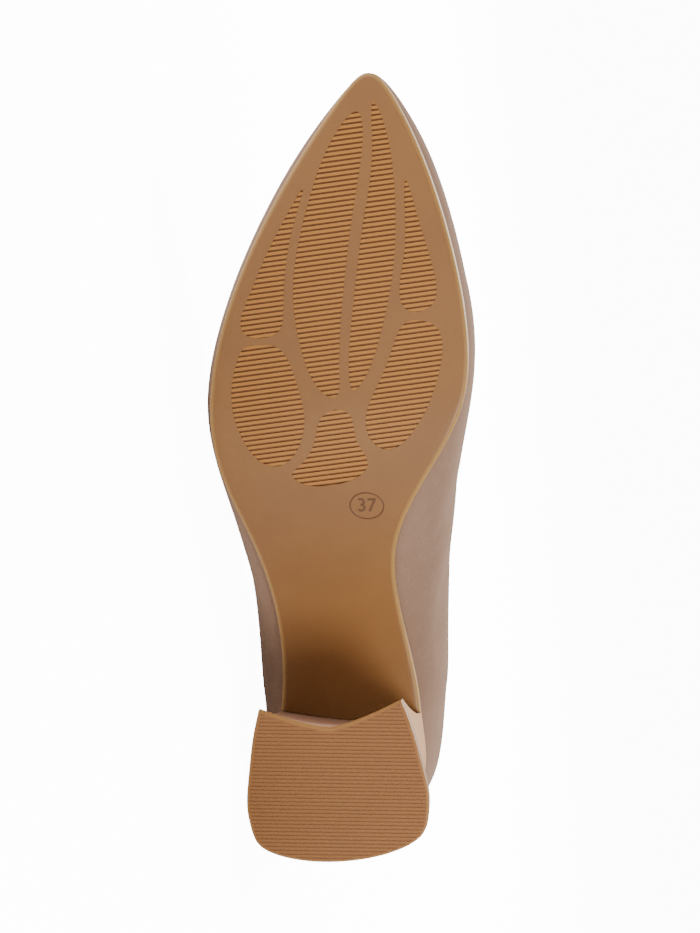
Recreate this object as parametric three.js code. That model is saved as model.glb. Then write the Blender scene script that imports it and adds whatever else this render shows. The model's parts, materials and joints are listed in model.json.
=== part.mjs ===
// A pointed toe block heel pump for the right foot, lying on its outer side.
// Each piece is modelled upright in the shoe's own frame, in millimetres:
// +X from the back of the seat to the toe, +Y to the inner side, +Z up from the floor.
// At the end the whole shoe is laid on its outer side, in the place where it comes to rest.
import * as THREE from 'three';
import { mergeVertices } from 'three/addons/utils/BufferGeometryUtils.js';

// Lengths along the shoe
const SOLE_LENGTH = 246;
const BREAST_X = 40;
const FLAT_START_X = 146;
const FLAT_END_X = 178;
const THROAT_X = 170;

// Widths of the sole's edge
const BALL_WIDTH = 79.4;
const WAIST_WIDTH = 40;
const SEAT_WIDTH = 48.2;

// Heights above the floor
const HEEL_HEIGHT = 57;
const BREAST_HEIGHT = 51;
const TOE_SPRING = 7;

// Heights above the footbed
const COLLAR_HEIGHT = 54;
const INSTEP_HEIGHT = 42;

// Outsole, upper and insole
const SOLE_THICKNESS = 3.2;
const SOLE_BEVEL = 1.4;
const SOLE_MARGIN = 0.8;
const UPPER_WALL = 1.8;
const INSOLE_THICKNESS = 3;
const INSOLE_BEVEL = 0.8;
const CLEARANCE = 0.3;

// Block heel and top lift
const BREAST_BOW = 2.7;
const LIFT_BACK_X = -1.6;
const LIFT_LENGTH = 49.7;
const LIFT_WIDTH = 57.6;
const LIFT_BOW = 7.4;
const LIFT_THICKNESS = 4.5;
const LIFT_BEVEL = 0.6;
const LIFT_TURN = THREE.MathUtils.degToRad(-4.7);

// How the toe spring and the heel's flare grow, how far a bowed end reaches along its piece,
// and how round that bow is: 2 makes a parabola and 1 a plain V
const SPRING_POWER = 1.8;
const FLARE_POWER = 1.7;
const BOW_POWER = 3;
const BOW_SHAPE = 1.4;

// Densities in grams per cubic millimetre, for the centre of mass
const RUBBER_DENSITY = 1.1e-3;
const LEATHER_DENSITY = 0.75e-3;
const HEEL_DENSITY = 0.7e-3;
const PADDING_DENSITY = 0.35e-3;

// How finely the surfaces are cut
const QUARTER_RIBS = 22;
const VAMP_RIBS = 16;
const RIB_STEPS = 12;
const SOLE_ROWS = 36;
const INSOLE_ROWS = 30;
const HEEL_ROWS = 16;
const ROW_STEPS = 8;
const HEEL_LEVELS = 8;
const THROAT_CROWDING = 1.6;
const HALVINGS = 40;
const REST_PASSES = 4;
const SLOPE_STEP = 1e-4;
const TOUCH = 1e-6;

// Edge of the sole from the seat to the toe: to each side as shares of the row's own width.
const soleEdgeRows = [
  { along: 0, of: SEAT_WIDTH, outer: 0, inner: 0 },
  { along: 0.03, of: SEAT_WIDTH, outer: -0.362, inner: 0.362 },
  { along: 0.1, of: SEAT_WIDTH, outer: -0.5, inner: 0.5 },
  { along: 0.15, of: SEAT_WIDTH, outer: -0.478, inner: 0.478 },
  { along: 0.2, of: SEAT_WIDTH, outer: -0.455, inner: 0.45 },
  { along: 0.32, of: WAIST_WIDTH, outer: -0.592, inner: 0.42 },
  { along: 0.4, of: WAIST_WIDTH, outer: -0.728, inner: 0.437 },
  { along: 0.48, of: BALL_WIDTH, outer: -0.461, inner: 0.336 },
  { along: 0.57, of: BALL_WIDTH, outer: -0.502, inner: 0.486 },
  { along: 0.67, of: BALL_WIDTH, outer: -0.457, inner: 0.517 },
  { along: 0.78, of: BALL_WIDTH, outer: -0.333, inner: 0.456 },
  { along: 0.9, of: BALL_WIDTH, outer: -0.134, inner: 0.331 },
  { along: 0.96, of: BALL_WIDTH, outer: -0.012, inner: 0.238 },
  { along: 1, of: BALL_WIDTH, outer: 0.117, inner: 0.117 },
];

// Ridge of the last over each place on the sole's edge: where it is along the sole, how far
// it lies to the inner side as a share of the ball width, and its rise as a share of the
// instep height. Behind the throat it is the top of the last, which the topline cuts off.
const ridgeRows = [
  { along: 0, ridge: 0.055, side: 0, rise: 1.67 },
  { along: 0.1, ridge: 0.13, side: 0, rise: 1.62 },
  { along: 0.2, ridge: 0.22, side: -0.005, rise: 1.58 },
  { along: 0.32, ridge: 0.32, side: -0.01, rise: 1.55 },
  { along: 0.4, ridge: 0.4, side: -0.01, rise: 1.52 },
  { along: 0.48, ridge: 0.48, side: 0, rise: 1.44 },
  { along: 0.57, ridge: 0.575, side: 0.02, rise: 1.28 },
  { along: 0.67, ridge: 0.675, side: 0.05, rise: 1.02 },
  { along: 0.78, ridge: 0.778, side: 0.075, rise: 0.74 },
  { along: 0.9, ridge: 0.885, side: 0.1, rise: 0.45 },
  { along: 1, ridge: 0.966, side: 0.117, rise: 0.24 },
];

// Shape of the ribs between edge and ridge: the two bulges and the shoulder are shares of the
// ball width, and lift is the height of the bulge as a share of the rib's own rise.
const ribRows = [
  { along: 0, outer: 0.1, inner: 0.1, lift: 0.36, shoulder: 0.16 },
  { along: 0.1, outer: 0.215, inner: 0.16, lift: 0.34, shoulder: 0.23 },
  { along: 0.2, outer: 0.31, inner: 0.28, lift: 0.3, shoulder: 0.26 },
  { along: 0.32, outer: 0.27, inner: 0.4, lift: 0.24, shoulder: 0.29 },
  { along: 0.4, outer: 0.21, inner: 0.43, lift: 0.22, shoulder: 0.31 },
  { along: 0.48, outer: 0.14, inner: 0.32, lift: 0.25, shoulder: 0.31 },
  { along: 0.57, outer: 0.155, inner: 0.15, lift: 0.3, shoulder: 0.29 },
  { along: 0.67, outer: 0.15, inner: 0.13, lift: 0.33, shoulder: 0.26 },
  { along: 0.78, outer: 0.13, inner: 0.12, lift: 0.36, shoulder: 0.22 },
  { along: 0.9, outer: 0.1, inner: 0.1, lift: 0.4, shoulder: 0.16 },
  { along: 1, outer: 0.03, inner: 0.03, lift: 0.5, shoulder: 0.08 },
];

// Topline as seen from each side: its height above the footbed as shares of the collar height.
const toplineRows = [
  { along: -0.02, outer: 1, inner: 1 },
  { along: 0.02, outer: 0.985, inner: 0.985 },
  { along: 0.06, outer: 0.92, inner: 0.92 },
  { along: 0.11, outer: 0.81, inner: 0.83 },
  { along: 0.22, outer: 0.66, inner: 0.7 },
  { along: 0.36, outer: 0.66, inner: 0.71 },
  { along: 0.5, outer: 0.79, inner: 0.82 },
  { along: 0.6, outer: 0.83, inner: 0.84 },
];

// Edge of the top lift: along it as shares of its length, to each side as shares of its width.
const liftRows = [
  { along: 0, half: 0 },
  { along: 0.06, half: 0.334 },
  { along: 0.13, half: 0.442 },
  { along: 0.25, half: 0.487 },
  { along: 0.38, half: 0.5 },
  { along: 0.62, half: 0.472 },
  { along: 0.83, half: 0.436 },
  { along: 1, half: 0.393 },
];

const mix = THREE.MathUtils.lerp;

// A natural cubic spline through the given values at the given places.
function spline(places, values) {
  const last = places.length - 1;
  const gaps = places.slice(1).map((place, i) => place - places[i]);
  const rates = gaps.map((gap, i) => (values[i + 1] - values[i]) / gap);
  const pivots = new Array(last + 1).fill(1);
  const bends = new Array(last + 1).fill(0);
  for (let i = 1; i < last; i++) {
    const pull = i > 1 ? gaps[i - 1] / pivots[i - 1] : 0;
    pivots[i] = 2 * (gaps[i - 1] + gaps[i]) - pull * gaps[i - 1];
    bends[i] = 6 * (rates[i] - rates[i - 1]) - pull * bends[i - 1];
  }
  for (let i = last - 1; i > 0; i--) {
    bends[i] = (bends[i] - gaps[i] * bends[i + 1]) / pivots[i];
  }
  return (place) => {
    let i = 0;
    while (i < last - 1 && place > places[i + 1]) i += 1;
    const left = places[i + 1] - place;
    const right = place - places[i];
    const bent = (bends[i] * left ** 3 + bends[i + 1] * right ** 3) / (6 * gaps[i]);
    const fromStart = (values[i] / gaps[i] - (bends[i] * gaps[i]) / 6) * left;
    const fromEnd = (values[i + 1] / gaps[i] - (bends[i + 1] * gaps[i]) / 6) * right;
    return bent + fromStart + fromEnd;
  };
}

// A column of a table as a smooth function of the place along the piece.
function column(rows, name, size) {
  return spline(rows.map((row) => row.along), rows.map((row) => row[name] * size));
}

// Halves a range until it holds the place where a test turns from false to true.
function turningPlace(test) {
  let low = 0;
  let high = 1;
  for (let i = 0; i < HALVINGS; i++) {
    const middle = (low + high) / 2;
    if (test(middle)) high = middle;
    else low = middle;
  }
  return high;
}

// Rows are placed by a turn from 0 at the heel to 1 at the toe. It crowds them at both ends,
// so that the edge crosses the middle squarely there.
const turnAt = (along) => Math.acos(1 - 2 * along) / Math.PI;
const alongAt = (turn) => (1 - Math.cos(Math.PI * turn)) / 2;

const edgeTurns = soleEdgeRows.map((row) => turnAt(row.along));
const innerSide = {
  sign: 1,
  edge: spline(edgeTurns, soleEdgeRows.map((row) => row.inner * row.of)),
  bulge: column(ribRows, 'inner', BALL_WIDTH),
};
const outerSide = {
  sign: -1,
  edge: spline(edgeTurns, soleEdgeRows.map((row) => row.outer * row.of)),
  bulge: column(ribRows, 'outer', BALL_WIDTH),
};
const ridgeX = column(ridgeRows, 'ridge', SOLE_LENGTH);
const ridgeY = column(ridgeRows, 'side', BALL_WIDTH);
const ridgeRise = column(ridgeRows, 'rise', INSTEP_HEIGHT);
const ribLift = column(ribRows, 'lift', 1);
const ribShoulder = column(ribRows, 'shoulder', BALL_WIDTH);

// A point of a side's edge, drawn in squarely by a margin.
function edgePoint(curve, sign, place, margin) {
  const ahead = curve(place + SLOPE_STEP);
  const run = ahead.sub(curve(place - SLOPE_STEP)).normalize();
  const out = new THREE.Vector2(-run.y, run.x).multiplyScalar(sign);
  return curve(place).addScaledVector(out, -margin);
}

function soleEdge(side, turn, margin) {
  const curve = (place) => new THREE.Vector2(SOLE_LENGTH * alongAt(place), side.edge(place));
  return edgePoint(curve, side.sign, turn, margin);
}

// Top of the outsole and of the heel block: a sloping seat, the shank, a flat ball and the
// toe spring.
function footbedHeight(x) {
  const seatSlope = (BREAST_HEIGHT - HEEL_HEIGHT) / BREAST_X;
  if (x < BREAST_X) return HEEL_HEIGHT + seatSlope * x;
  if (x < FLAT_START_X) {
    const run = FLAT_START_X - BREAST_X;
    const t = (x - BREAST_X) / run;
    const fall = (2 * t ** 3 - 3 * t ** 2 + 1) * (BREAST_HEIGHT - SOLE_THICKNESS);
    return SOLE_THICKNESS + fall + (t ** 3 - 2 * t ** 2 + t) * seatSlope * run;
  }
  const spring = Math.max(0, x - FLAT_END_X) / (SOLE_LENGTH - FLAT_END_X);
  return SOLE_THICKNESS + TOE_SPRING * spring ** SPRING_POWER;
}

function ridgePoint(along) {
  const x = ridgeX(along);
  return new THREE.Vector3(x, ridgeY(along), footbedHeight(x) + CLEARANCE + ridgeRise(along));
}

// The way that a rib faces: straight back at the heel, to the side, and forward at the toe.
function ribFacing(side, turn) {
  const x = -Math.cos(Math.PI * turn) * BALL_WIDTH;
  const y = Math.sin(Math.PI * turn) * SOLE_LENGTH * side.sign;
  return new THREE.Vector2(x, y).normalize();
}

// One rib of the last, from the edge over the footbed to the ridge.
function rib(side, turn) {
  const along = alongAt(turn);
  const out = ribFacing(side, turn);
  const point = soleEdge(side, turn, SOLE_MARGIN);
  const foot = new THREE.Vector3(point.x, point.y, footbedHeight(point.x) + CLEARANCE);
  const ridge = ridgePoint(along);
  const bulge = foot.clone();
  bulge.x += out.x * side.bulge(along);
  bulge.y += out.y * side.bulge(along);
  bulge.z += ribLift(along) * (ridge.z - foot.z);
  const ahead = ridgePoint(along + SLOPE_STEP);
  const ridgeRun = ahead.sub(ridgePoint(along - SLOPE_STEP)).normalize();
  const shoulder = ridge.clone().addScaledVector(ridgeRun, out.x * ribShoulder(along));
  shoulder.y += out.y * ribShoulder(along);
  return new THREE.CubicBezierCurve3(foot, bulge, shoulder, ridge);
}

// Where the topline cuts a rib, seen from the side.
const throatAlong = turningPlace((along) => ridgeX(along) > THROAT_X);
const throatTurn = turnAt(throatAlong);
for (const [name, side] of Object.entries({ inner: innerSide, outer: outerSide })) {
  const places = toplineRows.map((row) => row.along * SOLE_LENGTH);
  const rises = toplineRows.map((row) => row[name] * COLLAR_HEIGHT);
  side.topline = spline([...places, THROAT_X], [...rises, ridgeRise(throatAlong)]);
}

function ribTop(side, curve) {
  return turningPlace((share) => {
    const point = curve.getPoint(share);
    const height = side.topline(point.x) + footbedHeight(point.x) + CLEARANCE;
    return point.z > height;
  });
}

function ribPoints(side, turn) {
  const curve = rib(side, turn);
  const top = turn < throatTurn ? ribTop(side, curve) : 1;
  const shares = Array.from({ length: RIB_STEPS + 1 }, (_, step) => (top * step) / RIB_STEPS);
  return shares.map((share) => curve.getPoint(share));
}

// Merges the points that triangles share, and drops the triangles that have no area.
function meshOf(corners) {
  const loose = new THREE.BufferGeometry().setFromPoints(corners);
  const merged = mergeVertices(loose, CLEARANCE / 100);
  const index = merged.getIndex().array;
  const kept = [];
  for (let i = 0; i < index.length; i += 3) {
    const [a, b, c] = index.subarray(i, i + 3);
    if (a !== b && b !== c && c !== a) kept.push(a, b, c);
  }
  merged.setIndex(kept);
  return merged;
}

function addQuad(corners, a, b, c, d) {
  corners.push(a, b, c, a, c, d);
}

// Gives an open sheet a wall on its inner side, with a rim round each of its openings.
function thickened(sheet, wall) {
  sheet.computeVertexNormals();
  const outside = sheet.getAttribute('position');
  const normals = sheet.getAttribute('normal');
  const outer = (i) => new THREE.Vector3().fromBufferAttribute(outside, i);
  const lining = (i) => {
    const normal = new THREE.Vector3().fromBufferAttribute(normals, i);
    return outer(i).addScaledVector(normal, -wall);
  };
  const index = sheet.getIndex().array;
  const edges = new Map();
  const corners = [];
  for (let i = 0; i < index.length; i += 3) {
    const [a, b, c] = index.subarray(i, i + 3);
    corners.push(outer(a), outer(b), outer(c), lining(a), lining(c), lining(b));
    for (const [from, to] of [[a, b], [b, c], [c, a]]) edges.set(`${from} ${to}`, [from, to]);
  }
  for (const [from, to] of edges.values()) {
    if (edges.has(`${to} ${from}`)) continue;
    addQuad(corners, outer(to), outer(from), lining(from), lining(to));
  }
  return meshOf(corners);
}

// A solid of stacked levels. Each level is a grid of rows from the back to the front, with
// points from the outer to the inner side; the first is the underside and the last the top.
function stacked(levels) {
  const corners = [];
  const bottom = levels[0];
  const top = levels.at(-1);
  const ends = [bottom.length - 1, bottom[0].length - 1];
  for (let row = 0; row < ends[0]; row++) {
    for (let step = 0; step < ends[1]; step++) {
      const [a, b, c, d] = [[row, step], [row + 1, step], [row + 1, step + 1], [row, step + 1]];
      addQuad(corners, ...[a, b, c, d].map(([i, j]) => top[i][j]));
      addQuad(corners, ...[a, d, c, b].map(([i, j]) => bottom[i][j]));
    }
  }
  const loop = [];
  for (let row = 0; row < ends[0]; row++) loop.push([row, 0]);
  for (let step = 0; step < ends[1]; step++) loop.push([ends[0], step]);
  for (let row = ends[0]; row > 0; row--) loop.push([row, ends[1]]);
  for (let step = ends[1]; step > 0; step--) loop.push([0, step]);
  for (let level = 1; level < levels.length; level++) {
    const below = loop.map(([i, j]) => levels[level - 1][i][j]);
    const above = loop.map(([i, j]) => levels[level][i][j]);
    below.forEach((point, i) => {
      const next = (i + 1) % loop.length;
      addQuad(corners, point, below[next], above[next], above[i]);
    });
  }
  return meshOf(corners);
}

// One level of a piece: rows between its two edges, with the front row bowed back.
function levelGrid(rows, outerEdge, innerEdge, bow, height) {
  return Array.from({ length: rows + 1 }, (_, row) => {
    const from = outerEdge(row / rows);
    const to = innerEdge(row / rows);
    return Array.from({ length: ROW_STEPS + 1 }, (_, step) => {
      const across = (2 * step) / ROW_STEPS - 1;
      const point = from.clone().lerp(to, step / ROW_STEPS);
      point.x -= bow(row / rows) * (1 - Math.abs(across) ** BOW_SHAPE);
      return new THREE.Vector3(point.x, point.y, height(point.x));
    });
  });
}

// A level whose edges follow the sole's edge between two turns.
function soleLevel(rows, startTurn, endTurn, margin, bow, height) {
  const edge = (side) => (share) => soleEdge(side, mix(startTurn, endTurn, share), margin);
  return levelGrid(rows, edge(outerSide), edge(innerSide), bow, height);
}

function outsole() {
  const start = turnAt(BREAST_X / SOLE_LENGTH);
  const bow = (share) => BREAST_BOW * (1 - share) ** (BOW_POWER * BOW_POWER);
  const level = (margin, height) => soleLevel(SOLE_ROWS, start, 1, margin, bow, height);
  const tread = (x) => footbedHeight(x) - SOLE_THICKNESS;
  return stacked([
    level(SOLE_BEVEL, tread),
    level(0, (x) => tread(x) + SOLE_BEVEL),
    level(0, footbedHeight),
  ]);
}

function insole() {
  const inset = SOLE_MARGIN + UPPER_WALL + CLEARANCE;
  const flat = () => 0;
  const level = (margin, rise) => {
    const height = (x) => footbedHeight(x) + CLEARANCE + rise;
    return soleLevel(INSOLE_ROWS, 0, 1, margin, flat, height);
  };
  return stacked([
    level(inset, 0),
    level(inset, INSOLE_THICKNESS - INSOLE_BEVEL),
    level(inset + INSOLE_BEVEL, INSOLE_THICKNESS),
  ]);
}

// The lift's rows are placed by a share that crowds them at its round back.
const liftShare = (along) => (2 * Math.acos(1 - along)) / Math.PI;
const liftHalf = spline(
  liftRows.map((row) => liftShare(row.along)),
  liftRows.map((row) => row.half * LIFT_WIDTH),
);

function liftEdge(sign, share, margin) {
  const length = LIFT_LENGTH - margin;
  const curve = (place) => {
    const x = LIFT_BACK_X + length * (1 - Math.cos((Math.PI * place) / 2));
    return new THREE.Vector2(x, sign * liftHalf(place));
  };
  const point = edgePoint(curve, sign, share, margin);
  const middle = new THREE.Vector2(LIFT_BACK_X + LIFT_LENGTH / 2, 0);
  return point.rotateAround(middle, LIFT_TURN);
}

function liftLevel(margin, height) {
  const edge = (sign) => (share) => liftEdge(sign, share, margin);
  const bow = (share) => LIFT_BOW * share ** BOW_POWER;
  return levelGrid(HEEL_ROWS, edge(-1), edge(1), bow, () => height);
}

function topLift() {
  return stacked([
    liftLevel(LIFT_BEVEL, 0),
    liftLevel(0, LIFT_BEVEL),
    liftLevel(0, LIFT_THICKNESS),
  ]);
}

// The block heel runs from the lift's outline to the seat's, and flares towards the floor.
function heelBlock() {
  const breastTurn = turnAt((BREAST_X - CLEARANCE) / SOLE_LENGTH);
  const bow = (share) => BREAST_BOW * share ** BOW_POWER;
  const seat = soleLevel(HEEL_ROWS, 0, breastTurn, 0, bow, footbedHeight);
  const foot = liftLevel(0, LIFT_THICKNESS + CLEARANCE);
  const levels = Array.from({ length: HEEL_LEVELS + 1 }, (_, level) => {
    const rise = level / HEEL_LEVELS;
    const flare = (1 - rise) ** FLARE_POWER;
    return seat.map((row, i) => row.map((top, j) => {
      const point = top.clone().lerp(foot[i][j], flare);
      point.z = mix(foot[i][j].z, top.z, rise);
      return point;
    }));
  });
  return stacked(levels);
}

// The upper is one sheet of ribs from the toe round the heel and back, closed along the
// ridge in front of the throat, and given its wall on the inner side.
function upper() {
  const turns = [];
  for (let i = 0; i < QUARTER_RIBS; i++) {
    turns.push(throatTurn * (1 - (1 - i / QUARTER_RIBS) ** THROAT_CROWDING));
  }
  for (let i = 0; i <= VAMP_RIBS; i++) turns.push(mix(throatTurn, 1, i / VAMP_RIBS));
  const outerRibs = turns.toReversed().map((turn) => ribPoints(outerSide, turn));
  const innerRibs = turns.slice(1).map((turn) => ribPoints(innerSide, turn));
  const ribs = [...outerRibs, ...innerRibs];
  const corners = [];
  for (let i = 1; i < ribs.length; i++) {
    for (let j = 1; j <= RIB_STEPS; j++) {
      addQuad(corners, ribs[i - 1][j - 1], ribs[i - 1][j], ribs[i][j], ribs[i][j - 1]);
    }
  }
  return thickened(meshOf(corners), UPPER_WALL);
}

// Volume and centre of a closed mesh, from the tetrahedra that its triangles span.
function bulk(geometry) {
  const position = geometry.getAttribute('position');
  const index = geometry.getIndex().array;
  const corner = (i) => new THREE.Vector3().fromBufferAttribute(position, index[i]);
  const moment = new THREE.Vector3();
  let volume = 0;
  for (let i = 0; i < index.length; i += 3) {
    const [a, b, c] = [corner(i), corner(i + 1), corner(i + 2)];
    const part = a.dot(b.clone().cross(c)) / 6;
    volume += part;
    moment.addScaledVector(a.add(b).add(c), part / 4);
  }
  return { volume, centre: moment.divideScalar(volume) };
}

// The face of the convex hull straight below the origin, as its normal.
function faceBelow(points) {
  const isBelow = (corners) => {
    const sides = corners.map((a, i) => {
      const b = corners[(i + 1) % corners.length];
      return Math.sign(a.x * b.y - a.y * b.x);
    });
    return Math.abs(sides[0] + sides[1] + sides[2]) === 3;
  };
  const thirds = [0, 1, 2].map((i) => (i * 2 * Math.PI) / 3);
  let corners = thirds.map((angle) => new THREE.Vector3(Math.cos(angle), Math.sin(angle), 0));
  const normal = new THREE.Vector3();
  for (;;) {
    new THREE.Triangle(...corners).getNormal(normal);
    if (normal.z > 0) normal.negate();
    const reach = (point) => point.dot(normal);
    const furthest = points.reduce((best, point) => (reach(point) > reach(best) ? point : best));
    if (reach(furthest) - reach(corners[0]) < TOUCH) return normal;
    corners = corners.map((_, i) => corners.with(i, furthest)).find(isBelow);
  }
}

const rubber = new THREE.MeshStandardMaterial({ color: 0x9c6e47, roughness: 0.55, metalness: 0 });
const liftRubber = new THREE.MeshStandardMaterial({ color: 0x9d6c46, roughness: 0.6, metalness: 0 });
const suede = new THREE.MeshStandardMaterial({ color: 0xa98d7c, roughness: 0.95, metalness: 0 });
const heelSuede = new THREE.MeshStandardMaterial({ color: 0xb39a86, roughness: 0.95, metalness: 0 });
const sock = new THREE.MeshStandardMaterial({ color: 0xc7a989, roughness: 0.8, metalness: 0 });

const pieces = [
  { name: 'outsole', geometry: outsole(), material: rubber, density: RUBBER_DENSITY },
  { name: 'top_lift', geometry: topLift(), material: liftRubber, density: RUBBER_DENSITY },
  { name: 'heel_block', geometry: heelBlock(), material: heelSuede, density: HEEL_DENSITY },
  { name: 'upper', geometry: upper(), material: suede, density: LEATHER_DENSITY },
  { name: 'insole', geometry: insole(), material: sock, density: PADDING_DENSITY },
];

const shoe = new THREE.Group();
const massCentre = new THREE.Vector3();
let mass = 0;
for (const { name, geometry, material, density } of pieces) {
  const mesh = new THREE.Mesh(geometry, material);
  mesh.name = name;
  shoe.add(mesh);
  const { volume, centre } = bulk(geometry);
  mass += volume * density;
  massCentre.addScaledVector(centre, volume * density);
}
massCentre.divideScalar(mass);

// Lays the shoe on its outer side: the toe to -X, the sole to -Y and the inner side up.
const toLeft = new THREE.Vector3(-1, 0, 0);
const toBack = new THREE.Vector3(0, 1, 0);
const toTop = new THREE.Vector3(0, 0, 1);
shoe.quaternion.setFromRotationMatrix(new THREE.Matrix4().makeBasis(toLeft, toTop, toBack));

// Tips it onto the face of its hull that carries the centre of mass.
const hullPoints = pieces.flatMap(({ geometry }) => {
  const position = geometry.getAttribute('position');
  const indices = Array.from({ length: position.count }, (_, i) => i);
  return indices.map((i) => new THREE.Vector3().fromBufferAttribute(position, i).sub(massCentre));
});
for (let pass = 0; pass < REST_PASSES; pass++) {
  const turned = hullPoints.map((point) => point.clone().applyQuaternion(shoe.quaternion));
  const tip = new THREE.Quaternion();
  tip.setFromUnitVectors(faceBelow(turned), new THREE.Vector3(0, 0, -1));
  shoe.quaternion.premultiply(tip);
}

// The origin is the middle of the shoe's box, on the floor.
shoe.updateMatrixWorld(true);
const box = new THREE.Box3().setFromObject(shoe, true);
const boxCentre = box.getCenter(new THREE.Vector3());
shoe.position.set(-boxCentre.x, -boxCentre.y, -box.min.z);

const pump = new THREE.Group();
pump.add(shoe);

export default pump;
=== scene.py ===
# %% [markdown]
# # A pointed toe block heel pump, seen on its sole
#
# The CAD solids give this shoe its pieces and its sizes. This lesson dresses them: suede on
# the upper and the heel, gum rubber with cut grooves underneath, and a padded leather sock.
# Each piece is worked out again from the same named sizes and short tables as the solids,
# only finer, because a smooth last needs more faces than a collision model does.

import json
import math

import bmesh
import bpy
import numpy as np
from mathutils import Matrix, Vector


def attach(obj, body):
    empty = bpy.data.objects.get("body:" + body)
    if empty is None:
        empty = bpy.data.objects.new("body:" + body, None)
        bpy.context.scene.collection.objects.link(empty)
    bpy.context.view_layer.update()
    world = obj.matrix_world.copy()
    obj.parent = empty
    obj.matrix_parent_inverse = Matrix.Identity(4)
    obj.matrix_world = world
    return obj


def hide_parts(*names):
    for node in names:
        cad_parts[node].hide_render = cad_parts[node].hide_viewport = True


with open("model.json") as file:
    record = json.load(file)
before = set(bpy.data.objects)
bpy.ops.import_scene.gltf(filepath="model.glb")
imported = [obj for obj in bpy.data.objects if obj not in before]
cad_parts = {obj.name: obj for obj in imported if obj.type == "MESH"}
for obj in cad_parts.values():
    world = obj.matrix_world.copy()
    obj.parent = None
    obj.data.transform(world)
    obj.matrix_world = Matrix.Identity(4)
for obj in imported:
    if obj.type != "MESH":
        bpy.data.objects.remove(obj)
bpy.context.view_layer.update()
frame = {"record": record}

# %% [markdown]
# ## Sizes
#
# Everything is measured in the shoe's own frame, in millimetres: x runs from the back of the
# seat to the toe, y to the inner side and z up from the ground under the sole. A table row
# holds shares of a named size, so one length can change without the others.

# %% Named sizes
SOLE_LENGTH = 246
BREAST_X = 40
FLAT_START_X = 146
FLAT_END_X = 178
THROAT_X = 170
BALL_WIDTH = 79.4
WAIST_WIDTH = 40
SEAT_WIDTH = 48.2
HEEL_HEIGHT = 57
BREAST_HEIGHT = 51
TOE_SPRING = 7
COLLAR_HEIGHT = 54
INSTEP_HEIGHT = 42
SOLE_THICKNESS = 3.2
SOLE_BEVEL = 1.4
SOLE_MARGIN = 0.8
UPPER_WALL = 1.8
SUEDE_WALL = 1.1
INSOLE_THICKNESS = 3
CLEARANCE = 0.3
BREAST_BOW = 2.7
LIFT_BACK_X = -1.6
LIFT_LENGTH = 49.7
LIFT_WIDTH = 57.6
LIFT_BOW = 7.4
LIFT_THICKNESS = 4.5
LIFT_BEVEL = 0.6
LIFT_TURN = math.radians(-4.7)
SPRING_POWER = 1.8
FLARE_POWER = 1.7
BOW_POWER = 3
BOW_SHAPE = 1.4
SLOPE_STEP = 1e-4
HALVINGS = 40
print("The sole is", SOLE_LENGTH, "mm long and the heel", HEEL_HEIGHT, "mm high")

# %% Tables of the last, the topline and the lift
SOLE_EDGE = [  # along, width, outer and inner share
    (0, SEAT_WIDTH, 0, 0), (0.03, SEAT_WIDTH, -0.362, 0.362), (0.1, SEAT_WIDTH, -0.5, 0.5),
    (0.15, SEAT_WIDTH, -0.478, 0.478), (0.2, SEAT_WIDTH, -0.455, 0.45),
    (0.32, WAIST_WIDTH, -0.592, 0.42), (0.4, WAIST_WIDTH, -0.728, 0.437),
    (0.48, BALL_WIDTH, -0.461, 0.336), (0.57, BALL_WIDTH, -0.502, 0.486),
    (0.67, BALL_WIDTH, -0.457, 0.517), (0.78, BALL_WIDTH, -0.333, 0.456),
    (0.9, BALL_WIDTH, -0.134, 0.331), (0.96, BALL_WIDTH, -0.012, 0.238),
    (1, BALL_WIDTH, 0.117, 0.117),
]
RIDGE = [  # along the edge, along the sole, share to the inner side, share of the instep
    (0, 0.055, 0, 1.67), (0.1, 0.13, 0, 1.62), (0.2, 0.22, -0.005, 1.58),
    (0.32, 0.32, -0.01, 1.55), (0.4, 0.4, -0.01, 1.52), (0.48, 0.48, 0, 1.44),
    (0.57, 0.575, 0.02, 1.28), (0.67, 0.675, 0.05, 1.02), (0.78, 0.778, 0.075, 0.74),
    (0.9, 0.885, 0.1, 0.45), (1, 0.966, 0.117, 0.24),
]
RIBS = [  # along, outer and inner bulge, lift of the bulge, shoulder
    (0, 0.1, 0.1, 0.36, 0.16), (0.1, 0.215, 0.16, 0.34, 0.23), (0.2, 0.31, 0.28, 0.3, 0.26),
    (0.32, 0.27, 0.4, 0.24, 0.29), (0.4, 0.21, 0.43, 0.22, 0.31),
    (0.48, 0.14, 0.32, 0.25, 0.31), (0.57, 0.155, 0.15, 0.3, 0.29),
    (0.67, 0.15, 0.13, 0.33, 0.26), (0.78, 0.13, 0.12, 0.36, 0.22),
    (0.9, 0.1, 0.1, 0.4, 0.16), (1, 0.03, 0.03, 0.5, 0.08),
]
TOPLINE = [  # along, height of the outer and the inner side as shares of the collar
    (-0.02, 1, 1), (0.02, 0.985, 0.985), (0.06, 0.92, 0.92), (0.11, 0.81, 0.83),
    (0.22, 0.66, 0.7), (0.36, 0.66, 0.71), (0.5, 0.79, 0.82), (0.6, 0.83, 0.84),
]
LIFT_EDGE = [  # along, half width as a share of the lift's width
    (0, 0), (0.06, 0.334), (0.13, 0.442), (0.25, 0.487), (0.38, 0.5), (0.62, 0.472),
    (0.83, 0.436), (1, 0.393),
]
print(len(SOLE_EDGE), "places along the sole's edge and", len(RIBS), "ribs of the last")

# %% [markdown]
# ## From the shoe's frame to the part's
#
# The shoe lies on its outer side, tipped by its own weight, and the record doesn't store that
# turn. It does store two flat faces: the heel's tread and the forepart's. Their two points and
# their shared normal are enough to find the shoe's axes, with nothing fitted by eye.

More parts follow.
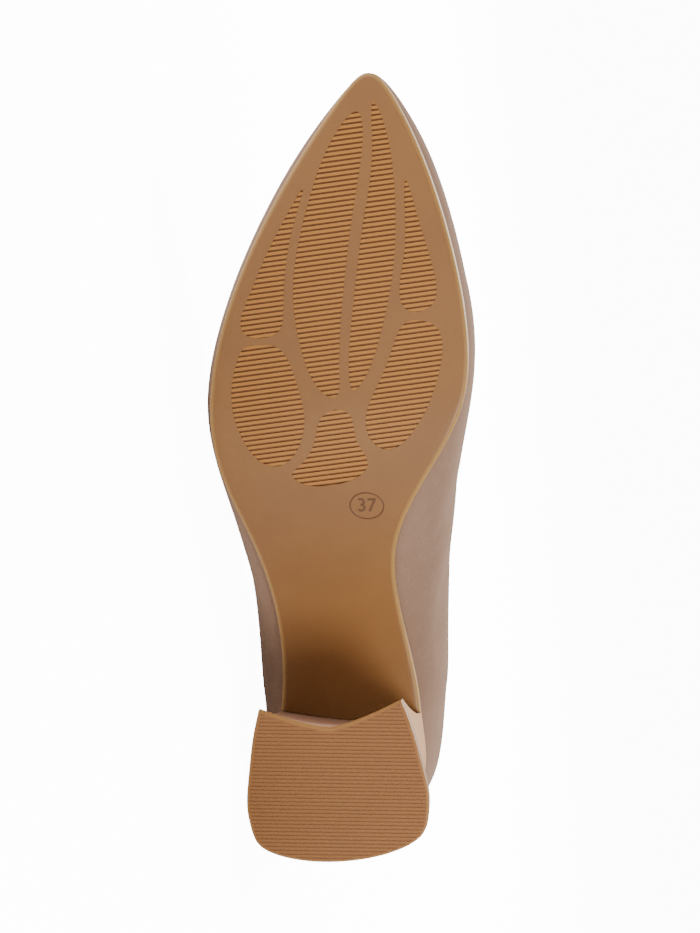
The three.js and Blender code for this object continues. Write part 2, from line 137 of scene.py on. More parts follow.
# %% Find the shoe's axes
HEEL_TREAD_X = 24
mounts = {mount["name"]: mount for mount in frame["record"]["mounts"]}
heel_point = np.array(mounts["heel_tread"]["pos_m"])
ball_point = np.array(mounts["forepart_tread"]["pos_m"])
up_way = -np.array(mounts["heel_tread"]["axis"])
up_way /= np.linalg.norm(up_way)
toe_way = ball_point - heel_point
toe_way -= up_way * toe_way.dot(up_way)
toe_way /= np.linalg.norm(toe_way)
inner_way = np.cross(up_way, toe_way)
shoe_axes = np.stack([toe_way, inner_way, up_way])
shoe_origin = heel_point - toe_way * HEEL_TREAD_X / 1000


def to_part(points):
    """Turns millimetres in the shoe's frame into metres in the part's."""
    return shoe_origin + np.asarray(points, float) / 1000 @ shoe_axes


print("The toe points to", np.round(toe_way, 4), "and the sole away from", np.round(up_way, 4))

# %% [markdown]
# ## Small helpers
#
# One function makes a plain object from points and faces. One dresses it as a piece of the
# shoe, which rides on the shoe's only body. One adds a node with its inputs, and one turns sRGB
# hex colours into linear values.

# %% Meshes, nodes and colours
SHARP_ANGLE = math.radians(40)


def shade(mesh):
    """Smooth shading that stops at edges sharper than a rounded one's steps."""
    mesh.shade_smooth()
    mesh.set_sharp_from_angle(angle=SHARP_ANGLE)


def add_object(name, data):
    piece = bpy.data.objects.new(name, data)
    bpy.context.scene.collection.objects.link(piece)
    return piece


def plain_piece(name, points, faces, edges=()):
    """An object from points, faces and loose edges, in the units that the points have."""
    mesh = bpy.data.meshes.new(name)
    corners = [[int(corner) for corner in face] for face in faces]
    mesh.from_pydata(np.asarray(points, float).tolist(), edges, corners)
    return add_object(name, mesh)


def belong(piece):
    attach(piece, "root")


def make_piece(name, points, faces, slot, material):
    """A finished piece of the shoe, from points in the shoe's millimetres."""
    piece = plain_piece(name, to_part(points), faces)
    piece.data.validate()
    piece.data.materials.append(material)
    shade(piece.data)
    belong(piece)
    print(name, len(piece.data.polygons), "faces")
    return piece


def mesh_arrays(mesh):
    points = np.array([vertex.co for vertex in mesh.vertices])
    return points, [list(face.vertices) for face in mesh.polygons]


def set_inputs(tree, node, inputs):
    """Sets a node's inputs, or links those whose value is a socket."""
    for key, value in inputs.items():
        if isinstance(value, bpy.types.NodeSocket):
            tree.links.new(value, node.inputs[key])
        else:
            node.inputs[key].default_value = value


def add_node(tree, kind, inputs=None, **settings):
    node = tree.nodes.new(kind)
    for key, value in settings.items():
        setattr(node, key, value)
    set_inputs(tree, node, inputs or {})
    return node


def srgb(code):
    """An sRGB hex colour as linear RGBA."""
    shares = [(code >> shift & 255) / 255 for shift in (16, 8, 0)]
    linear = [s / 12.92 if s <= 0.04045 else ((s + 0.055) / 1.055) ** 2.4 for s in shares]
    return (*linear, 1.0)


def new_material(name):
    material = bpy.data.materials.new(name)
    material.use_nodes = True
    tree = material.node_tree
    return material, tree, tree.nodes["Principled BSDF"]


def per_metre(millimetres):
    """Texture scale that gives features of this size."""
    return 1000 / millimetres


print("Mid grey is", round(srgb(0x808080)[0], 3), "in linear light")

# %% [markdown]
# ## The camera
#
# The photo looks almost squarely at the sole from about a metre and a half, with the toe up
# in the picture. As the shoe lies on its side, the same view is a camera near the floor that
# is rolled by a quarter turn.

# %% Place the camera
CAMERA_DISTANCE = 1500
TOWARDS_TOE = math.radians(4.5)
TOWARDS_INNER = math.radians(5.5)
LOOKED_AT = np.array([123.3, 4.4, 0])
PIXELS_PER_MM = 3.2
PICTURE_HEIGHT = 933
SENSOR = 36
VIEW_REACH = 200

way_back = np.array([math.tan(TOWARDS_TOE), math.tan(TOWARDS_INNER), -1])
camera_place = to_part(LOOKED_AT + CAMERA_DISTANCE * way_back)
camera_data = bpy.data.cameras.new("camera")
camera_data.sensor_fit = "VERTICAL"
camera_data.sensor_height = SENSOR
focal_pixels = PIXELS_PER_MM * CAMERA_DISTANCE * np.linalg.norm(way_back)
camera_data.lens = SENSOR * focal_pixels / PICTURE_HEIGHT
camera_data.clip_end = VIEW_REACH
camera = add_object("camera", camera_data)
forward = to_part(LOOKED_AT) - camera_place
forward /= np.linalg.norm(forward)
right = np.cross(forward, toe_way)
right /= np.linalg.norm(right)
up = np.cross(right, forward)
turn = Matrix((right, up, -forward)).transposed().to_4x4()
camera.matrix_world = Matrix.Translation(camera_place) @ turn
bpy.context.scene.camera = camera
print("Lens:", round(camera_data.lens), "mm, camera at", np.round(camera_place, 3))

# %% [markdown]
# ## Curves of the last
#
# A natural cubic spline turns each table into a smooth curve. Rows along the shoe are placed
# by a turn, which crowds them at heel and toe, where the edge bends most.

# %% Splines and edges


def spline(places, values):
    """A natural cubic spline through the values at the places."""
    places = np.asarray(places, float)
    values = np.asarray(values, float)
    gaps = np.diff(places)
    rates = np.diff(values) / gaps
    system = np.eye(len(places))
    slopes = np.zeros(len(places))
    for i in range(1, len(places) - 1):
        system[i, i - 1:i + 2] = gaps[i - 1], 2 * (gaps[i - 1] + gaps[i]), gaps[i]
        slopes[i] = 6 * (rates[i] - rates[i - 1])
    bends = np.linalg.solve(system, slopes)

    def at(place):
        i = np.clip(np.searchsorted(places, place) - 1, 0, len(gaps) - 1)
        left, right, gap = places[i + 1] - place, place - places[i], gaps[i]
        bent = (bends[i] * left ** 3 + bends[i + 1] * right ** 3) / (6 * gap)
        from_start = (values[i] / gap - bends[i] * gap / 6) * left
        return bent + from_start + (values[i + 1] / gap - bends[i + 1] * gap / 6) * right
    return at


def column(rows, index, size=1):
    return spline([row[0] for row in rows], [row[index] * size for row in rows])


def turn_at(along):
    return np.arccos(1 - 2 * np.asarray(along, float)) / math.pi


def along_at(turns):
    return (1 - np.cos(math.pi * turns)) / 2


OUTER, INNER = -1, 1
edge_turns = [turn_at(row[0]) for row in SOLE_EDGE]
edge_y = {side: spline(edge_turns, [row[1] * row[place] for row in SOLE_EDGE])
          for side, place in ((OUTER, 2), (INNER, 3))}
bulge = {OUTER: column(RIBS, 1, BALL_WIDTH), INNER: column(RIBS, 2, BALL_WIDTH)}
bulge_lift = column(RIBS, 3)
shoulder_reach = column(RIBS, 4, BALL_WIDTH)
ridge_x = column(RIDGE, 1, SOLE_LENGTH)
ridge_y = column(RIDGE, 2, BALL_WIDTH)
ridge_rise = column(RIDGE, 3, INSTEP_HEIGHT)


def inset(curve, side, places, margin):
    """Points of an edge, drawn in squarely by a margin."""
    run = curve(places + SLOPE_STEP) - curve(places - SLOPE_STEP)
    run /= np.linalg.norm(run, axis=-1, keepdims=True)
    out = side * np.stack([-run[..., 1], run[..., 0]], -1)
    return curve(places) - margin * out


def sole_edge(side, turns, margin=0.0):
    def curve(places):
        return np.stack([SOLE_LENGTH * along_at(places), edge_y[side](places)], -1)
    return inset(curve, side, turns, margin)


def footbed(x):
    """Height of the top of the sole and the heel: seat, shank, flat ball and toe spring."""
    x = np.asarray(x, float)
    slope = (BREAST_HEIGHT - HEEL_HEIGHT) / BREAST_X
    run = FLAT_START_X - BREAST_X
    t = np.clip((x - BREAST_X) / run, 0, 1)
    fall = (2 * t ** 3 - 3 * t ** 2 + 1) * (BREAST_HEIGHT - SOLE_THICKNESS)
    shank = SOLE_THICKNESS + fall + (t ** 3 - 2 * t ** 2 + t) * slope * run
    spring = np.clip((x - FLAT_END_X) / (SOLE_LENGTH - FLAT_END_X), 0, None)
    ball = SOLE_THICKNESS + TOE_SPRING * spring ** SPRING_POWER
    return np.where(x < BREAST_X, HEEL_HEIGHT + slope * x, np.where(x < FLAT_START_X, shank, ball))


print("Sole edge at the ball:", np.round(sole_edge(INNER, turn_at(0.67)), 1))

# %% [markdown]
# ## Gum rubber, suede and leather
#
# Gum rubber is satin and a little translucent. Its rounded edge gets a lighter band, a painted
# highlight, and its grooves a darker tone, painted shade: the mesh stores where its rim and its
# grooves are, and the material reads these marks. Suede has no gloss at all. Its nap catches
# light at a grazing angle and lies in patches where a hand has brushed it, so it gets a sheen,
# soft patches, dark flecks and a short-fibred relief.
# Lining leather is the only smooth skin here: it has a weak, broad gloss and fine pores.

# %% Materials
MIX_FACTOR, MIX_FIRST, MIX_SECOND = 0, 6, 7  # places of the mix node's colour inputs
MIX_RESULT = 2


def mix_colours(tree, factor, first, second):
    """Mixes two colours, each a value or a socket, by a factor that may be a socket too."""
    inputs = {MIX_FACTOR: factor, MIX_FIRST: first, MIX_SECOND: second}
    return add_node(tree, "ShaderNodeMix", inputs, data_type="RGBA").outputs[MIX_RESULT]


def noise(tree, size_mm, detail, stretch=(1, 1, 1)):
    """Noise whose features have a real size, read in the object's own metres."""
    place = add_node(tree, "ShaderNodeTexCoord")
    spread = add_node(tree, "ShaderNodeMapping",
                      {"Vector": place.outputs["Object"], "Scale": stretch})
    node = add_node(tree, "ShaderNodeTexNoise", {
        "Vector": spread.outputs["Vector"], "Scale": per_metre(size_mm), "Detail": detail})
    return node.outputs["Fac"]


def contrast(tree, value, low, high):
    """Stretches the middle of a noise to the whole range."""
    node = add_node(tree, "ShaderNodeMapRange",
                    {"Value": value, "From Min": low, "From Max": high})
    return node.outputs["Result"]


def marked(tree, tone, marks):
    """Lays each mark's colour over a tone, where the mesh's attribute of that name says."""
    for mark, colour in marks.items():
        where = add_node(tree, "ShaderNodeAttribute", attribute_name=mark)
        tone = mix_colours(tree, where.outputs["Fac"], tone, srgb(colour))
    return tone


def relief(tree, shader, layers):
    """Adds bumps, each from a height socket, a depth in millimetres and a strength."""
    below = {}
    for height, depth, strength in layers:
        bump = add_node(tree, "ShaderNodeBump", {
            "Height": height, "Distance": depth / 1000, "Strength": strength, **below})
        below = {"Normal": bump.outputs["Normal"]}
    set_inputs(tree, shader, below)


def gum_rubber(name, body, cloud, marks, roughness):
    """Satin rubber, faintly clouded, as moulded gum rubber is."""
    material, tree, shader = new_material(name)
    patches = contrast(tree, noise(tree, size_mm=38, detail=2), low=0.35, high=0.65)
    tone = mix_colours(tree, patches, srgb(body), srgb(cloud))
    set_inputs(tree, shader, {
        "Base Color": marked(tree, tone, marks), "Roughness": roughness, "IOR": 1.52,
        "Specular IOR Level": 0.3, "Subsurface Weight": 0.1,
        "Subsurface Radius": (1.0, 0.5, 0.25), "Subsurface Scale": 0.001})
    relief(tree, shader, [(noise(tree, size_mm=1.6, detail=4), 0.05, 0.3),
                          (noise(tree, size_mm=14, detail=2), 0.15, 0.3)])
    return material


def suede(name, dark, light, worn, marks):
    """Suede with soft patches, streaks where it is worn, and flecks in its nap."""
    material, tree, shader = new_material(name)
    patches = contrast(tree, noise(tree, size_mm=12, detail=6), low=0.3, high=0.7)
    streaks = noise(tree, size_mm=4, detail=6, stretch=(0.45, 1, 1))
    brushed = contrast(tree, streaks, low=0.45, high=0.95)
    nap = contrast(tree, noise(tree, size_mm=0.7, detail=2), low=0.3, high=1.1)
    tone = mix_colours(tree, patches, srgb(dark), srgb(light))
    tone = mix_colours(tree, brushed, tone, srgb(worn))
    tone = mix_colours(tree, nap, srgb(dark), tone)
    set_inputs(tree, shader, {
        "Base Color": marked(tree, tone, marks), "Roughness": 0.95,
        "Specular IOR Level": 0.15, "Sheen Weight": 0.25, "Sheen Roughness": 0.5,
        "Sheen Tint": srgb(0xB29D88)})
    relief(tree, shader, [(noise(tree, size_mm=0.45, detail=3), 0.1, 0.55),
                          (noise(tree, size_mm=4, detail=4), 0.2, 0.4)])
    return material


def smooth_leather(name, body, dark):
    """Leather with a weak, broad gloss and fine pores, for the lining and the thread."""
    material, tree, shader = new_material(name)
    patches = contrast(tree, noise(tree, size_mm=24, detail=3), low=0.3, high=0.7)
    tone = mix_colours(tree, patches, srgb(body), srgb(dark))
    set_inputs(tree, shader, {"Base Color": tone, "Roughness": 0.5, "Specular IOR Level": 0.4})
    relief(tree, shader, [(noise(tree, size_mm=0.9, detail=3), 0.06, 0.5)])
    return material


# The lighter rim colour is a painted highlight on the rounded edge, and the groove colour is
# painted shade.
sole_rubber = gum_rubber("gum_rubber_sole", 0x734D25, 0x6D4823, {
    "rim": 0xA27B41, "land": 0x8C5B21, "groove": 0x623810}, 0.5)
# The size mark's rubber is darker than the sole's: painted shade along its thin raised lines.
shaded_mark_rubber = gum_rubber("gum_rubber_mark", 0x513114, 0x4B2C11, {}, 0.5)
lift_rubber = gum_rubber("gum_rubber_lift", 0x72471D, 0x6D441A, {
    "rim": 0x90642F, "groove": 0x673D17}, 0.55)
upper_suede = suede("taupe_suede", 0x7B604E, 0x886B5A, 0x977A6B, {})
# The heel's suede is far lighter than the upper's: painted light on the heel's side. The mark on
# its breast is painted shade.
heel_suede = suede("heel_cover_suede", 0xB48862, 0xBC916D, 0xC39B79, {"breast": 0x976C53})
lining_leather = smooth_leather("lining_leather", 0xB69673, 0xAD8C68)
thread = smooth_leather("taupe_thread", 0x6E5643, 0x664E3D)
print("Materials:", [material.name for material in bpy.data.materials])

# %% [markdown]
# ## Geometry Nodes: parallel bars and a row of stitches
#
# Two small trees make everything that repeats. One lays out parallel bars, which cut the
# grooves of sole and lift. The other follows a path with stitches. Both end by realizing their
# instances, and each size goes in as a named input, so either one can be used again.

# %% Node trees


def geometry_tree(name, inputs):
    tree = bpy.data.node_groups.new(name, "GeometryNodeTree")
    tree.interface.new_socket("Geometry", in_out="INPUT", socket_type="NodeSocketGeometry")
    for label, kind in inputs.items():
        tree.interface.new_socket(label, in_out="INPUT", socket_type=f"NodeSocket{kind}")
    tree.interface.new_socket("Geometry", in_out="OUTPUT", socket_type="NodeSocketGeometry")
    return tree, add_node(tree, "NodeGroupInput").outputs


def close_tree(tree, material, instances):
    """Ends a tree: instances on its points, made real and given one material."""
    placed = add_node(tree, "GeometryNodeInstanceOnPoints", instances)
    real = add_node(tree, "GeometryNodeRealizeInstances",
                    {"Geometry": placed.outputs["Instances"]})
    painted = add_node(tree, "GeometryNodeSetMaterial",
                       {"Geometry": real.outputs["Geometry"], "Material": material})
    add_node(tree, "NodeGroupOutput", {"Geometry": painted.outputs["Geometry"]})


def bars_tree():
    tree, given = geometry_tree("parallel_bars", {
        "Count": "Int", "Start": "Vector", "Pitch": "Float", "Width": "Float",
        "Length": "Float", "Height": "Float", "Angle": "Float", "Material": "Material"})
    step = add_node(tree, "ShaderNodeCombineXYZ", {"X": given["Pitch"]})
    line = add_node(tree, "GeometryNodeMeshLine", {
        "Count": given["Count"], "Start Location": given["Start"],
        "Offset": step.outputs["Vector"]}, mode="OFFSET")
    size = add_node(tree, "ShaderNodeCombineXYZ",
                    {"X": given["Width"], "Y": given["Length"], "Z": given["Height"]})
    bar = add_node(tree, "GeometryNodeMeshCube", {"Size": size.outputs["Vector"]})
    angle = add_node(tree, "ShaderNodeCombineXYZ", {"Z": given["Angle"]})
    close_tree(tree, given["Material"], {
        "Points": line.outputs["Mesh"], "Instance": bar.outputs["Mesh"],
        "Rotation": angle.outputs["Vector"]})
    return tree


def stitches_tree():
    tree, given = geometry_tree("stitches_on_a_path", {
        "Pitch": "Float", "Length": "Float", "Radius": "Float", "Material": "Material"})
    path = add_node(tree, "GeometryNodeMeshToCurve", {"Mesh": given["Geometry"]})
    spaced = add_node(tree, "GeometryNodeResampleCurve",
                      {"Curve": path.outputs["Curve"], "Length": given["Pitch"]}, mode="LENGTH")
    ball = add_node(tree, "GeometryNodeMeshUVSphere", {"Segments": 8, "Rings": 6, "Radius": 1.0})
    soft = add_node(tree, "GeometryNodeSetShadeSmooth", {"Geometry": ball.outputs["Mesh"]})
    size = add_node(tree, "ShaderNodeCombineXYZ",
                    {"X": given["Radius"], "Y": given["Radius"], "Z": given["Length"]})
    tangent = add_node(tree, "GeometryNodeInputTangent")
    along = add_node(tree, "FunctionNodeAlignRotationToVector",
                     {"Vector": tangent.outputs["Tangent"]}, axis="Z")
    close_tree(tree, given["Material"], {
        "Points": spaced.outputs["Curve"], "Instance": soft.outputs["Geometry"],
        "Rotation": along.outputs["Rotation"], "Scale": size.outputs["Vector"]})
    return tree


def grow(piece, tree, **values):
    """Runs a tree on a piece with these inputs, and keeps the mesh that it makes."""
    modifier = piece.modifiers.new(tree.name, "NODES")
    modifier.node_group = tree
    for item in tree.interface.items_tree:
        if item.in_out == "INPUT" and item.name in values:
            modifier[item.identifier] = values[item.name]
    keep_result(piece)


def result_of(piece):
    """The mesh that a piece's modifiers make, or that a text's letters make."""
    graph = bpy.context.evaluated_depsgraph_get()
    return bpy.data.meshes.new_from_object(piece.evaluated_get(graph))


def keep_result(piece):
    """Puts what a piece's modifiers make in the place of its mesh."""
    mesh = result_of(piece)
    piece.modifiers.clear()
    piece.data = mesh


bars = bars_tree()
stitches = stitches_tree()
print("Trees:", [tree.name for tree in bpy.data.node_groups])

# %% [markdown]
# ## Closed solids from stacked levels
#
# The sole, the lift, the sock and the heel are all the same kind of shape: an outline that is
# drawn in a little at some heights. Each level is a grid of rows from back to front, and the
# walls join the rims of neighbouring levels.

# %% Levels
WELD_DIGITS = 4
EDGE_STEPS = 5


def level_grid(edges, rows, steps, bow, margin):
    """Rows between the two edges, in plan, with the front row bowed back."""
    shares = np.linspace(0, 1, rows + 1)
    outer, inner = edges(OUTER, shares, margin), edges(INNER, shares, margin)
    across = np.linspace(0, 1, steps + 1)[:, None]
    grid = outer[:, None] * (1 - across) + inner[:, None] * across
    grid[..., 0] -= bow(shares)[:, None] * (1 - np.abs(2 * across[:, 0] - 1) ** BOW_SHAPE)
    return grid


def raised(grid, height):
    return np.dstack([grid, np.broadcast_to(height, grid.shape[:2])])


def rim_of(grid):
    """The points round a grid, in order."""
    return np.concatenate([grid[:-1, 0], grid[-1, :-1], grid[:0:-1, -1], grid[0, :0:-1]])


def quads(*corners):
    """Faces from four grids, each of which holds one corner of every face."""
    return np.stack([grid.ravel() for grid in corners], -1)


def grid_faces(ids):
    return quads(ids[:-1, :-1], ids[1:, :-1], ids[1:, 1:], ids[:-1, 1:])


def welded(points, faces):
    """Joins points in the same place and drops the faces that lose their area."""
    rounded = np.round(points, WELD_DIGITS)
    places, ids = np.unique(rounded, axis=0, return_inverse=True)
    kept = []
    for face in faces:
        corners = [ids.ravel()[i] for i in face]
        corners = [c for i, c in enumerate(corners) if c != corners[i - 1]]
        if len(set(corners)) == len(corners) > 2:
            kept.append(corners)
    return places, kept


def stacked(levels):
    """One closed solid from grids of points, the underside first."""
    under, rims = levels[0], np.array([rim_of(level) for level in levels])
    ids = np.arange(under[..., 0].size).reshape(under.shape[:2])
    rim_ids = 2 * ids.size + np.arange(rims[..., 0].size).reshape(rims.shape[:2])
    low, high = rim_ids[:-1], rim_ids[1:]
    walls = quads(low, np.roll(low, -1, axis=1), np.roll(high, -1, axis=1), high)
    faces = np.concatenate([grid_faces(ids)[:, ::-1], grid_faces(ids + ids.size), walls])
    points = [part.reshape(-1, 3) for part in (under, levels[-1], rims)]
    return welded(np.concatenate(points), faces)


def rounded_profile(radius, low, high, top_radius):
    """Margins and heights of a wall with rounded lower and upper edges."""
    angles = np.linspace(0, math.pi / 2, EDGE_STEPS)
    lower = [(radius * (1 - math.sin(a)), low + radius * (1 - math.cos(a))) for a in angles]
    upper = [(top_radius * (1 - math.cos(a)), high - top_radius * (1 - math.sin(a)))
             for a in angles]
    return lower + upper


print("The sole's edge:", np.round(rounded_profile(SOLE_BEVEL, 0, SOLE_THICKNESS, 0), 2)[:3])

# %% [markdown]
# ## Cutting grooves
#
# The forepart's grooves are real cuts. They are made while the sole is still flat: bars are
# trimmed to the panels' outlines and taken out of the sole, and only then is the sole bent to
# the last. Cutting first keeps every groove equally deep on the toe spring and the ball.

# %% Cutting tools
BAR_LENGTH = 120.0
SAME_PLACE = 1e-3


def without_repeats(outline):
    """An outline whose neighbouring points all differ."""
    step = np.hypot(*(outline - np.roll(outline, 1, axis=0)).T)
    return outline[step > SAME_PLACE]


def prisms(name, outlines, low, high):
    """One object of upright prisms over outlines in plan."""
    shape = bmesh.new()
    for outline in outlines:
        corners = [shape.verts.new((x, y, low)) for x, y in without_repeats(outline)]
        face = shape.faces.new(corners)
        made = bmesh.ops.extrude_face_region(shape, geom=[face])["geom"]
        lifted = [item for item in made if isinstance(item, bmesh.types.BMVert)]
        bmesh.ops.translate(shape, verts=lifted, vec=(0, 0, high - low))
    bmesh.ops.recalc_face_normals(shape, faces=shape.faces)
    mesh = bpy.data.meshes.new(name)
    shape.to_mesh(mesh)
    shape.free()
    return add_object(name, mesh)


def cut(piece, tool, operation):
    modifier = piece.modifiers.new(operation, "BOOLEAN")
    modifier.object = tool
    modifier.operation = operation
    modifier.solver = "MANIFOLD"
    keep_result(piece)
    bpy.data.objects.remove(tool)


def groove_cutter(name, panels, start, length, pitch, width, depth, angle, low):
    """Bars across the panels, from below the surface to the groove's bottom."""
    cutter = plain_piece(name, [], [])
    grow(cutter, bars, Count=int(length / pitch), Start=(start, 0.0, low), Pitch=pitch,
         Width=width, Length=BAR_LENGTH, Height=2 * depth, Angle=angle, Material=sole_rubber)
    cut(cutter, panels, "INTERSECT")
    print(name, len(cutter.data.polygons), "faces")
    return cutter


def store(piece, **marks):
    """Keeps each mark in the mesh, under the name by which a material reads it."""
    for name, values in marks.items():
        layer = piece.data.attributes.new(name, "FLOAT", "POINT")
        layer.data.foreach_set("value", np.asarray(values, np.float32))


def nearness(points, outline, reach):
    """1 on an outline in plan, falling to 0 at the given reach."""
    gaps = [np.min(np.hypot(*(outline - point).T)) for point in points[:, :2]]
    return np.clip(1 - np.array(gaps) / reach, 0, 1)


# %% [markdown]
# ## The outsole
#
# One sheet of gum rubber, 3.2 mm thick, from the heel's breast to the toe. Its lower edge is
# well rounded. The tread is a leaf with its two halves, and petals round it: a plain pattern
# of this lesson's own. Each panel is a short list of points, which a closed spline rounds off.

# %% Flat outsole
SOLE_ROWS, SOLE_STEPS = 150, 28
HIGHLIGHT_REACH = 1.3
GROOVE_PITCH = 1.58
GROOVE_WIDTH = 0.62
GROOVE_DEPTH = 0.5
GROOVE_ANGLE = math.radians(-8)
GROOVES_START = 108
PANEL_RECESS = 0.1
PANEL_LOW, PANEL_HIGH = -5, -1
SOLE_TOP_EDGE = 0.3
EDGE_PLACES = 700

breast_turn = float(turn_at(BREAST_X / SOLE_LENGTH))


def sole_levels(start, end, rows, steps, bow, profile):
    def edges(side, shares, margin):
        return sole_edge(side, start + (end - start) * shares, margin)
    return [raised(level_grid(edges, rows, steps, bow, margin), height)
            for margin, height in profile]


def outsole_bow(shares):
    return BREAST_BOW * (1 - shares) ** (BOW_POWER * BOW_POWER)


sole_profile = rounded_profile(SOLE_BEVEL, -SOLE_THICKNESS, 0, SOLE_TOP_EDGE)
flat_sole = plain_piece("flat_sole", *stacked(
    sole_levels(breast_turn, 1, SOLE_ROWS, SOLE_STEPS, outsole_bow, sole_profile)))
print("Flat sole:", len(flat_sole.data.polygons), "faces")

# %% Panels of the tread
PANELS = {  # points round each panel in millimetres: along the shoe, to the inner side
    "outer half of the leaf": [
        (234, 6), (228, 0), (215, -6), (197, -11), (178, -13.5), (160, -11), (147, -5),
        (145, 0), (155, 1), (180, 2.5), (205, 5.5), (228, 8),
    ],
    "inner half of the leaf": [
        (237, 11), (222, 11), (200, 8.5), (175, 5.5), (155, 4), (147, 5.5), (153, 10),
        (165, 14), (182, 17.5), (203, 18.5), (220, 17), (232, 14),
    ],
    "front outer petal": [
        (210, -10.5), (200, -16.5), (188, -22.5), (176, -27.5), (168, -30), (164, -28),
        (163.5, -22), (166, -17.5), (174, -16.5), (188, -15.5), (202, -12.5),
    ],
    "rear outer petal": [
        (160, -29), (150, -32.5), (140, -32.5), (130, -29), (124, -24), (123, -18),
        (128, -12.5), (138, -10), (148, -12), (158, -16), (161, -20), (161, -25),
    ],
    "front inner petal": [
        (213, 21.5), (200, 21.5), (188, 21), (176, 20), (172, 23), (173, 29), (178, 31.5),
        (190, 29), (203, 25),
    ],
    "rear inner petal": [
        (168.5, 22), (163, 18.5), (152, 14.5), (140, 9.5), (132, 10.5), (128.5, 15),
        (130, 20), (138, 26.5), (150, 31.5), (164, 33), (168.5, 29),
    ],
    "base of the leaf": [
        (141, 0), (138, -5), (131, -7), (124, -11), (120, -14.5), (117, -11), (116.5, -4),
        (118, 3), (122, 9), (126, 9), (132, 6), (139, 4.5),
    ],
}
PANEL_STEPS = 7
WRAPPED = 4  # points repeated past each end, so that the spline closes smoothly


def closed_curve(points):
    """A smooth closed outline through the points."""
    looped = np.concatenate([points[-WRAPPED:], points, points[:WRAPPED + 1]])
    gaps = np.sqrt(np.hypot(*np.diff(looped, axis=0).T))
    places = np.concatenate([[0], np.cumsum(gaps)])
    first, last = places[WRAPPED], places[WRAPPED + len(points)]
    sampled = np.linspace(first, last, len(points) * PANEL_STEPS, endpoint=False)
    return np.stack([spline(places, looped[:, i])(sampled) for i in (0, 1)], -1)


def tread_panels(low, high):
    outlines = [closed_curve(np.array(corners)) for corners in PANELS.values()]
    return prisms("tread_panels", outlines, low, high)


panels = tread_panels(PANEL_LOW, PANEL_HIGH)
grooves = groove_cutter(
    "sole_grooves", panels, start=GROOVES_START, length=SOLE_LENGTH - GROOVES_START,
    pitch=GROOVE_PITCH, width=GROOVE_WIDTH, depth=GROOVE_DEPTH, angle=GROOVE_ANGLE,
    low=-SOLE_THICKNESS)
cut(flat_sole, tread_panels(PANEL_LOW, PANEL_RECESS - SOLE_THICKNESS), "DIFFERENCE")
cut(flat_sole, grooves, "DIFFERENCE")
print("Cut sole:", len(flat_sole.data.polygons), "faces")

# %% [markdown]
# ### Bending it
#
# Each point of the flat sole is lifted by the height of the footbed over it. The rim, which gets a
# painted highlight, and the grooves, which get painted shade, are marked before that, while both
# are easy to tell by their place.

# %% Bend the outsole
points, faces = mesh_arrays(flat_sole.data)
edge_places = np.linspace(breast_turn, 1, EDGE_PLACES)
outline = np.concatenate([sole_edge(side, edge_places) for side in (OUTER, INNER)])
# A band along the sole's rounded edge, fading inwards, gets a painted highlight.
rim = nearness(points, outline, HIGHLIGHT_REACH)
depth = np.where(rim == 0, points[:, 2] + SOLE_THICKNESS, 0)
land = (depth > PANEL_RECESS / 2) & (depth < SOLE_THICKNESS / 2)
# The groove bottoms get painted shade, fading up the groove walls.
groove_shade_mask = (depth > 2 * PANEL_RECESS) & (depth < SOLE_THICKNESS / 2)
points[:, 2] += footbed(points[:, 0])
outsole = make_piece("outsole_rubber", points, faces, "sole_rubber", sole_rubber)
store(outsole, rim=rim, land=land, groove=groove_shade_mask)
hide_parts("outsole")
bpy.data.objects.remove(flat_sole)

# %% [markdown]
# ### A number in a ring
#
# Behind the tread the mould leaves a thin ring with a plain size number. Text becomes a mesh
# of its own, is laid on the sole from below, and follows the sole's bend point by point.

# %% Size mark
MARK_NUMBER = "37"
MARK_PLACE = np.array([110.0, 8.6])
MARK_HEIGHT = 6.2
MARK_LINE = 0.22
MARK_RELIEF = 0.16
LETTER_WEIGHT = 0.005
RING_WIDTH, RING_HEIGHT = 10.6, 8.6
RING_STEPS, LINE_STEPS = 72, 7


def text_mesh(words, height, relief):
    """Raised text, centred on its own origin."""
    letters = bpy.data.curves.new("letters", "FONT")
    letters.body = words
    letters.size = height
    letters.extrude = relief
    letters.offset = LETTER_WEIGHT * height
    letters.align_x = "CENTER"
    letters.align_y = "CENTER"
    piece = add_object("letters", letters)
    mesh = result_of(piece)
    bpy.data.objects.remove(piece)
    return mesh_arrays(mesh)


def ring_mesh(width, height, line, relief):
    """A flat oval ring with a rounded top."""
    around = np.linspace(0, 2 * math.pi, RING_STEPS, endpoint=False)[:, None]
    across = np.linspace(0, math.pi, LINE_STEPS)
    points = np.stack([(width / 2 + line * np.cos(across)) * np.cos(around),
                       (height / 2 + line * np.cos(across)) * np.sin(around),
                       relief * np.sin(across) + 0 * around], -1)
    ids = np.arange(RING_STEPS * LINE_STEPS).reshape(RING_STEPS, LINE_STEPS)
    after = np.roll(ids, -1, axis=0)
    faces = quads(ids[:, :-1], after[:, :-1], after[:, 1:], ids[:, 1:])
    return points.reshape(-1, 3), faces.tolist()


def under_sole(points):
    """Lays a flat pattern on the sole: its right is the inner side and its top the toe."""
    x = MARK_PLACE[0] + points[:, 1]
    y = MARK_PLACE[1] + points[:, 0]
    return np.column_stack([x, y, footbed(x) - SOLE_THICKNESS - points[:, 2]])


number_points, number_faces = text_mesh(MARK_NUMBER, MARK_HEIGHT, MARK_RELIEF)
ring_points, ring_faces = ring_mesh(RING_WIDTH, RING_HEIGHT, MARK_LINE, MARK_RELIEF)
number_faces = [[corner + len(ring_points) for corner in face] for face in number_faces]
make_piece("size_mark", under_sole(np.concatenate([ring_points, number_points])),
           ring_faces + number_faces, "sole_rubber", shaded_mark_rubber)

